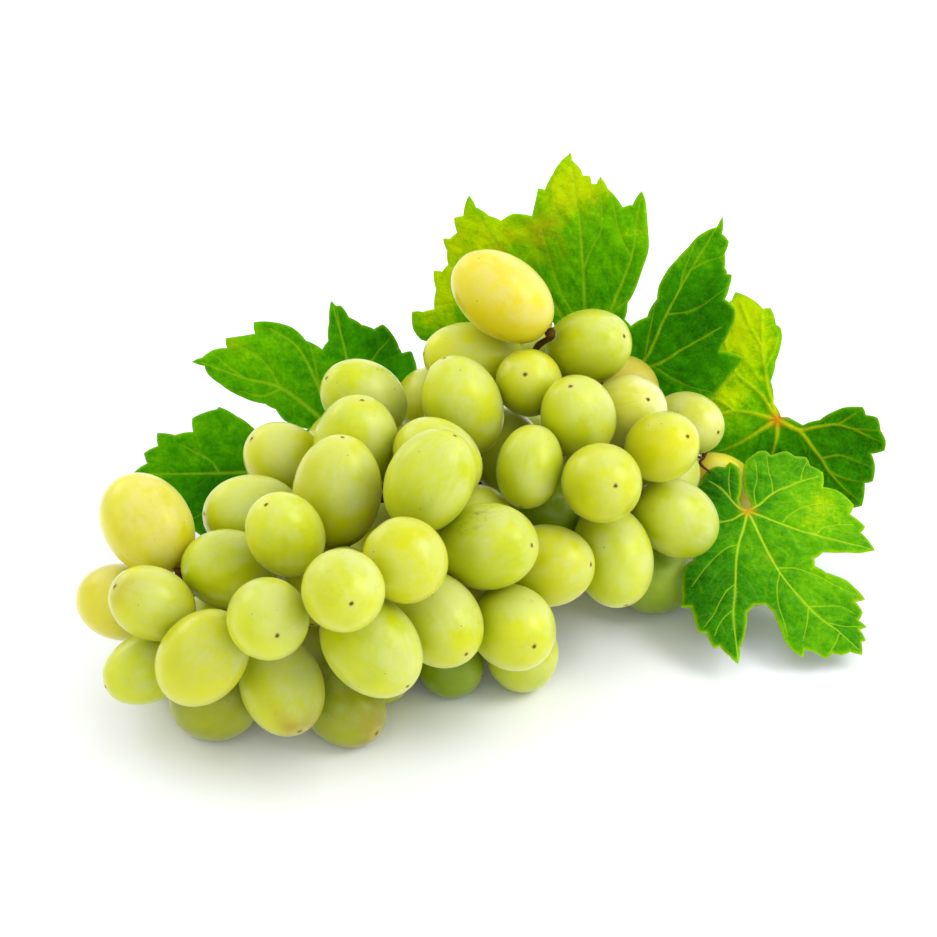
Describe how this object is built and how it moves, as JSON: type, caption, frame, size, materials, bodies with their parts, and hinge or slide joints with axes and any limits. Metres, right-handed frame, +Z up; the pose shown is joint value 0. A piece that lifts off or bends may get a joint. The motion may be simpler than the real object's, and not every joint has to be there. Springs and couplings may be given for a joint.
{
  "type": "bunch of grapes",
  "caption": "Bunch of white table grapes lying on its side with vine leaves, for food and still life scenes.",
  "frame": {"origin": "middle of the underside of the object's box, on the surface it lies on", "axes": "+X along the bunch's long side to the stem end and the right-hand leaves, +Y to the back where the leaves stand, +Z up"},
  "size_m": [0.195, 0.1607, 0.0972],
  "materials": {
    "skin_green": "satin, translucent skin with a faint bloom",
    "skin_yellow": "satin, translucent skin with a faint bloom",
    "skin_olive": "satin, translucent skin with a faint bloom",
    "skin_pale": "satin, translucent skin with a strong bloom",
    "skin_deep": "satin, translucent skin",
    "stalk": "matt green brown",
    "leaf_left": "satin leaf",
    "leaf_top": "satin leaf",
    "leaf_right_back": "satin leaf",
    "leaf_right_front": "satin leaf"
  },
  "bodies": {
    "root": {"berry_01": "skin_yellow", "berry_02": "skin_yellow", "berry_03": "skin_green", "berry_04": "skin_green", "berry_05": "skin_green", "berry_06": "skin_green", "berry_07": "skin_green", "berry_08": "skin_olive", "berry_09": "skin_green", "berry_10": "skin_green", "berry_11": "skin_green", "berry_12": "skin_green", "berry_13": "skin_green", "berry_14": "skin_green", "berry_15": "skin_green", "berry_16": "skin_green", "berry_17": "skin_green", "berry_18": "skin_green", "berry_19": "skin_green", "berry_20": "skin_green", "berry_21": "skin_green", "berry_22": "skin_green", "berry_23": "skin_olive", "berry_24": "skin_deep", "berry_25": "skin_green", "berry_26": "skin_green", "berry_27": "skin_green", "berry_28": "skin_green", "berry_29": "skin_green", "berry_30": "skin_green", "berry_31": "skin_green", "berry_32": "skin_green", "berry_33": "skin_green", "berry_34": "skin_pale", "berry_35": "skin_green", "berry_36": "skin_pale", "berry_37": "skin_green", "berry_38": "skin_green", "berry_39": "skin_pale", "berry_40": "skin_yellow", "berry_41": "skin_deep", "berry_42": "skin_deep", "berry_43": "skin_green", "berry_44": "skin_green", "berry_45": "skin_green", "berry_46": "skin_green", "berry_47": "skin_green", "berry_48": "skin_yellow", "sprig_a": "skin_green", "sprig_b": "skin_green", "sprig_c": "skin_green", "sprig_d": "skin_green", "sprig_e": "skin_green", "sprig_f": "skin_green", "rachis": "stalk", "leaf_left": "leaf_left", "leaf_top": "leaf_top", "leaf_right_back": "leaf_right_back", "leaf_right_front": "leaf_right_front"}
  },
  "joints": []
}
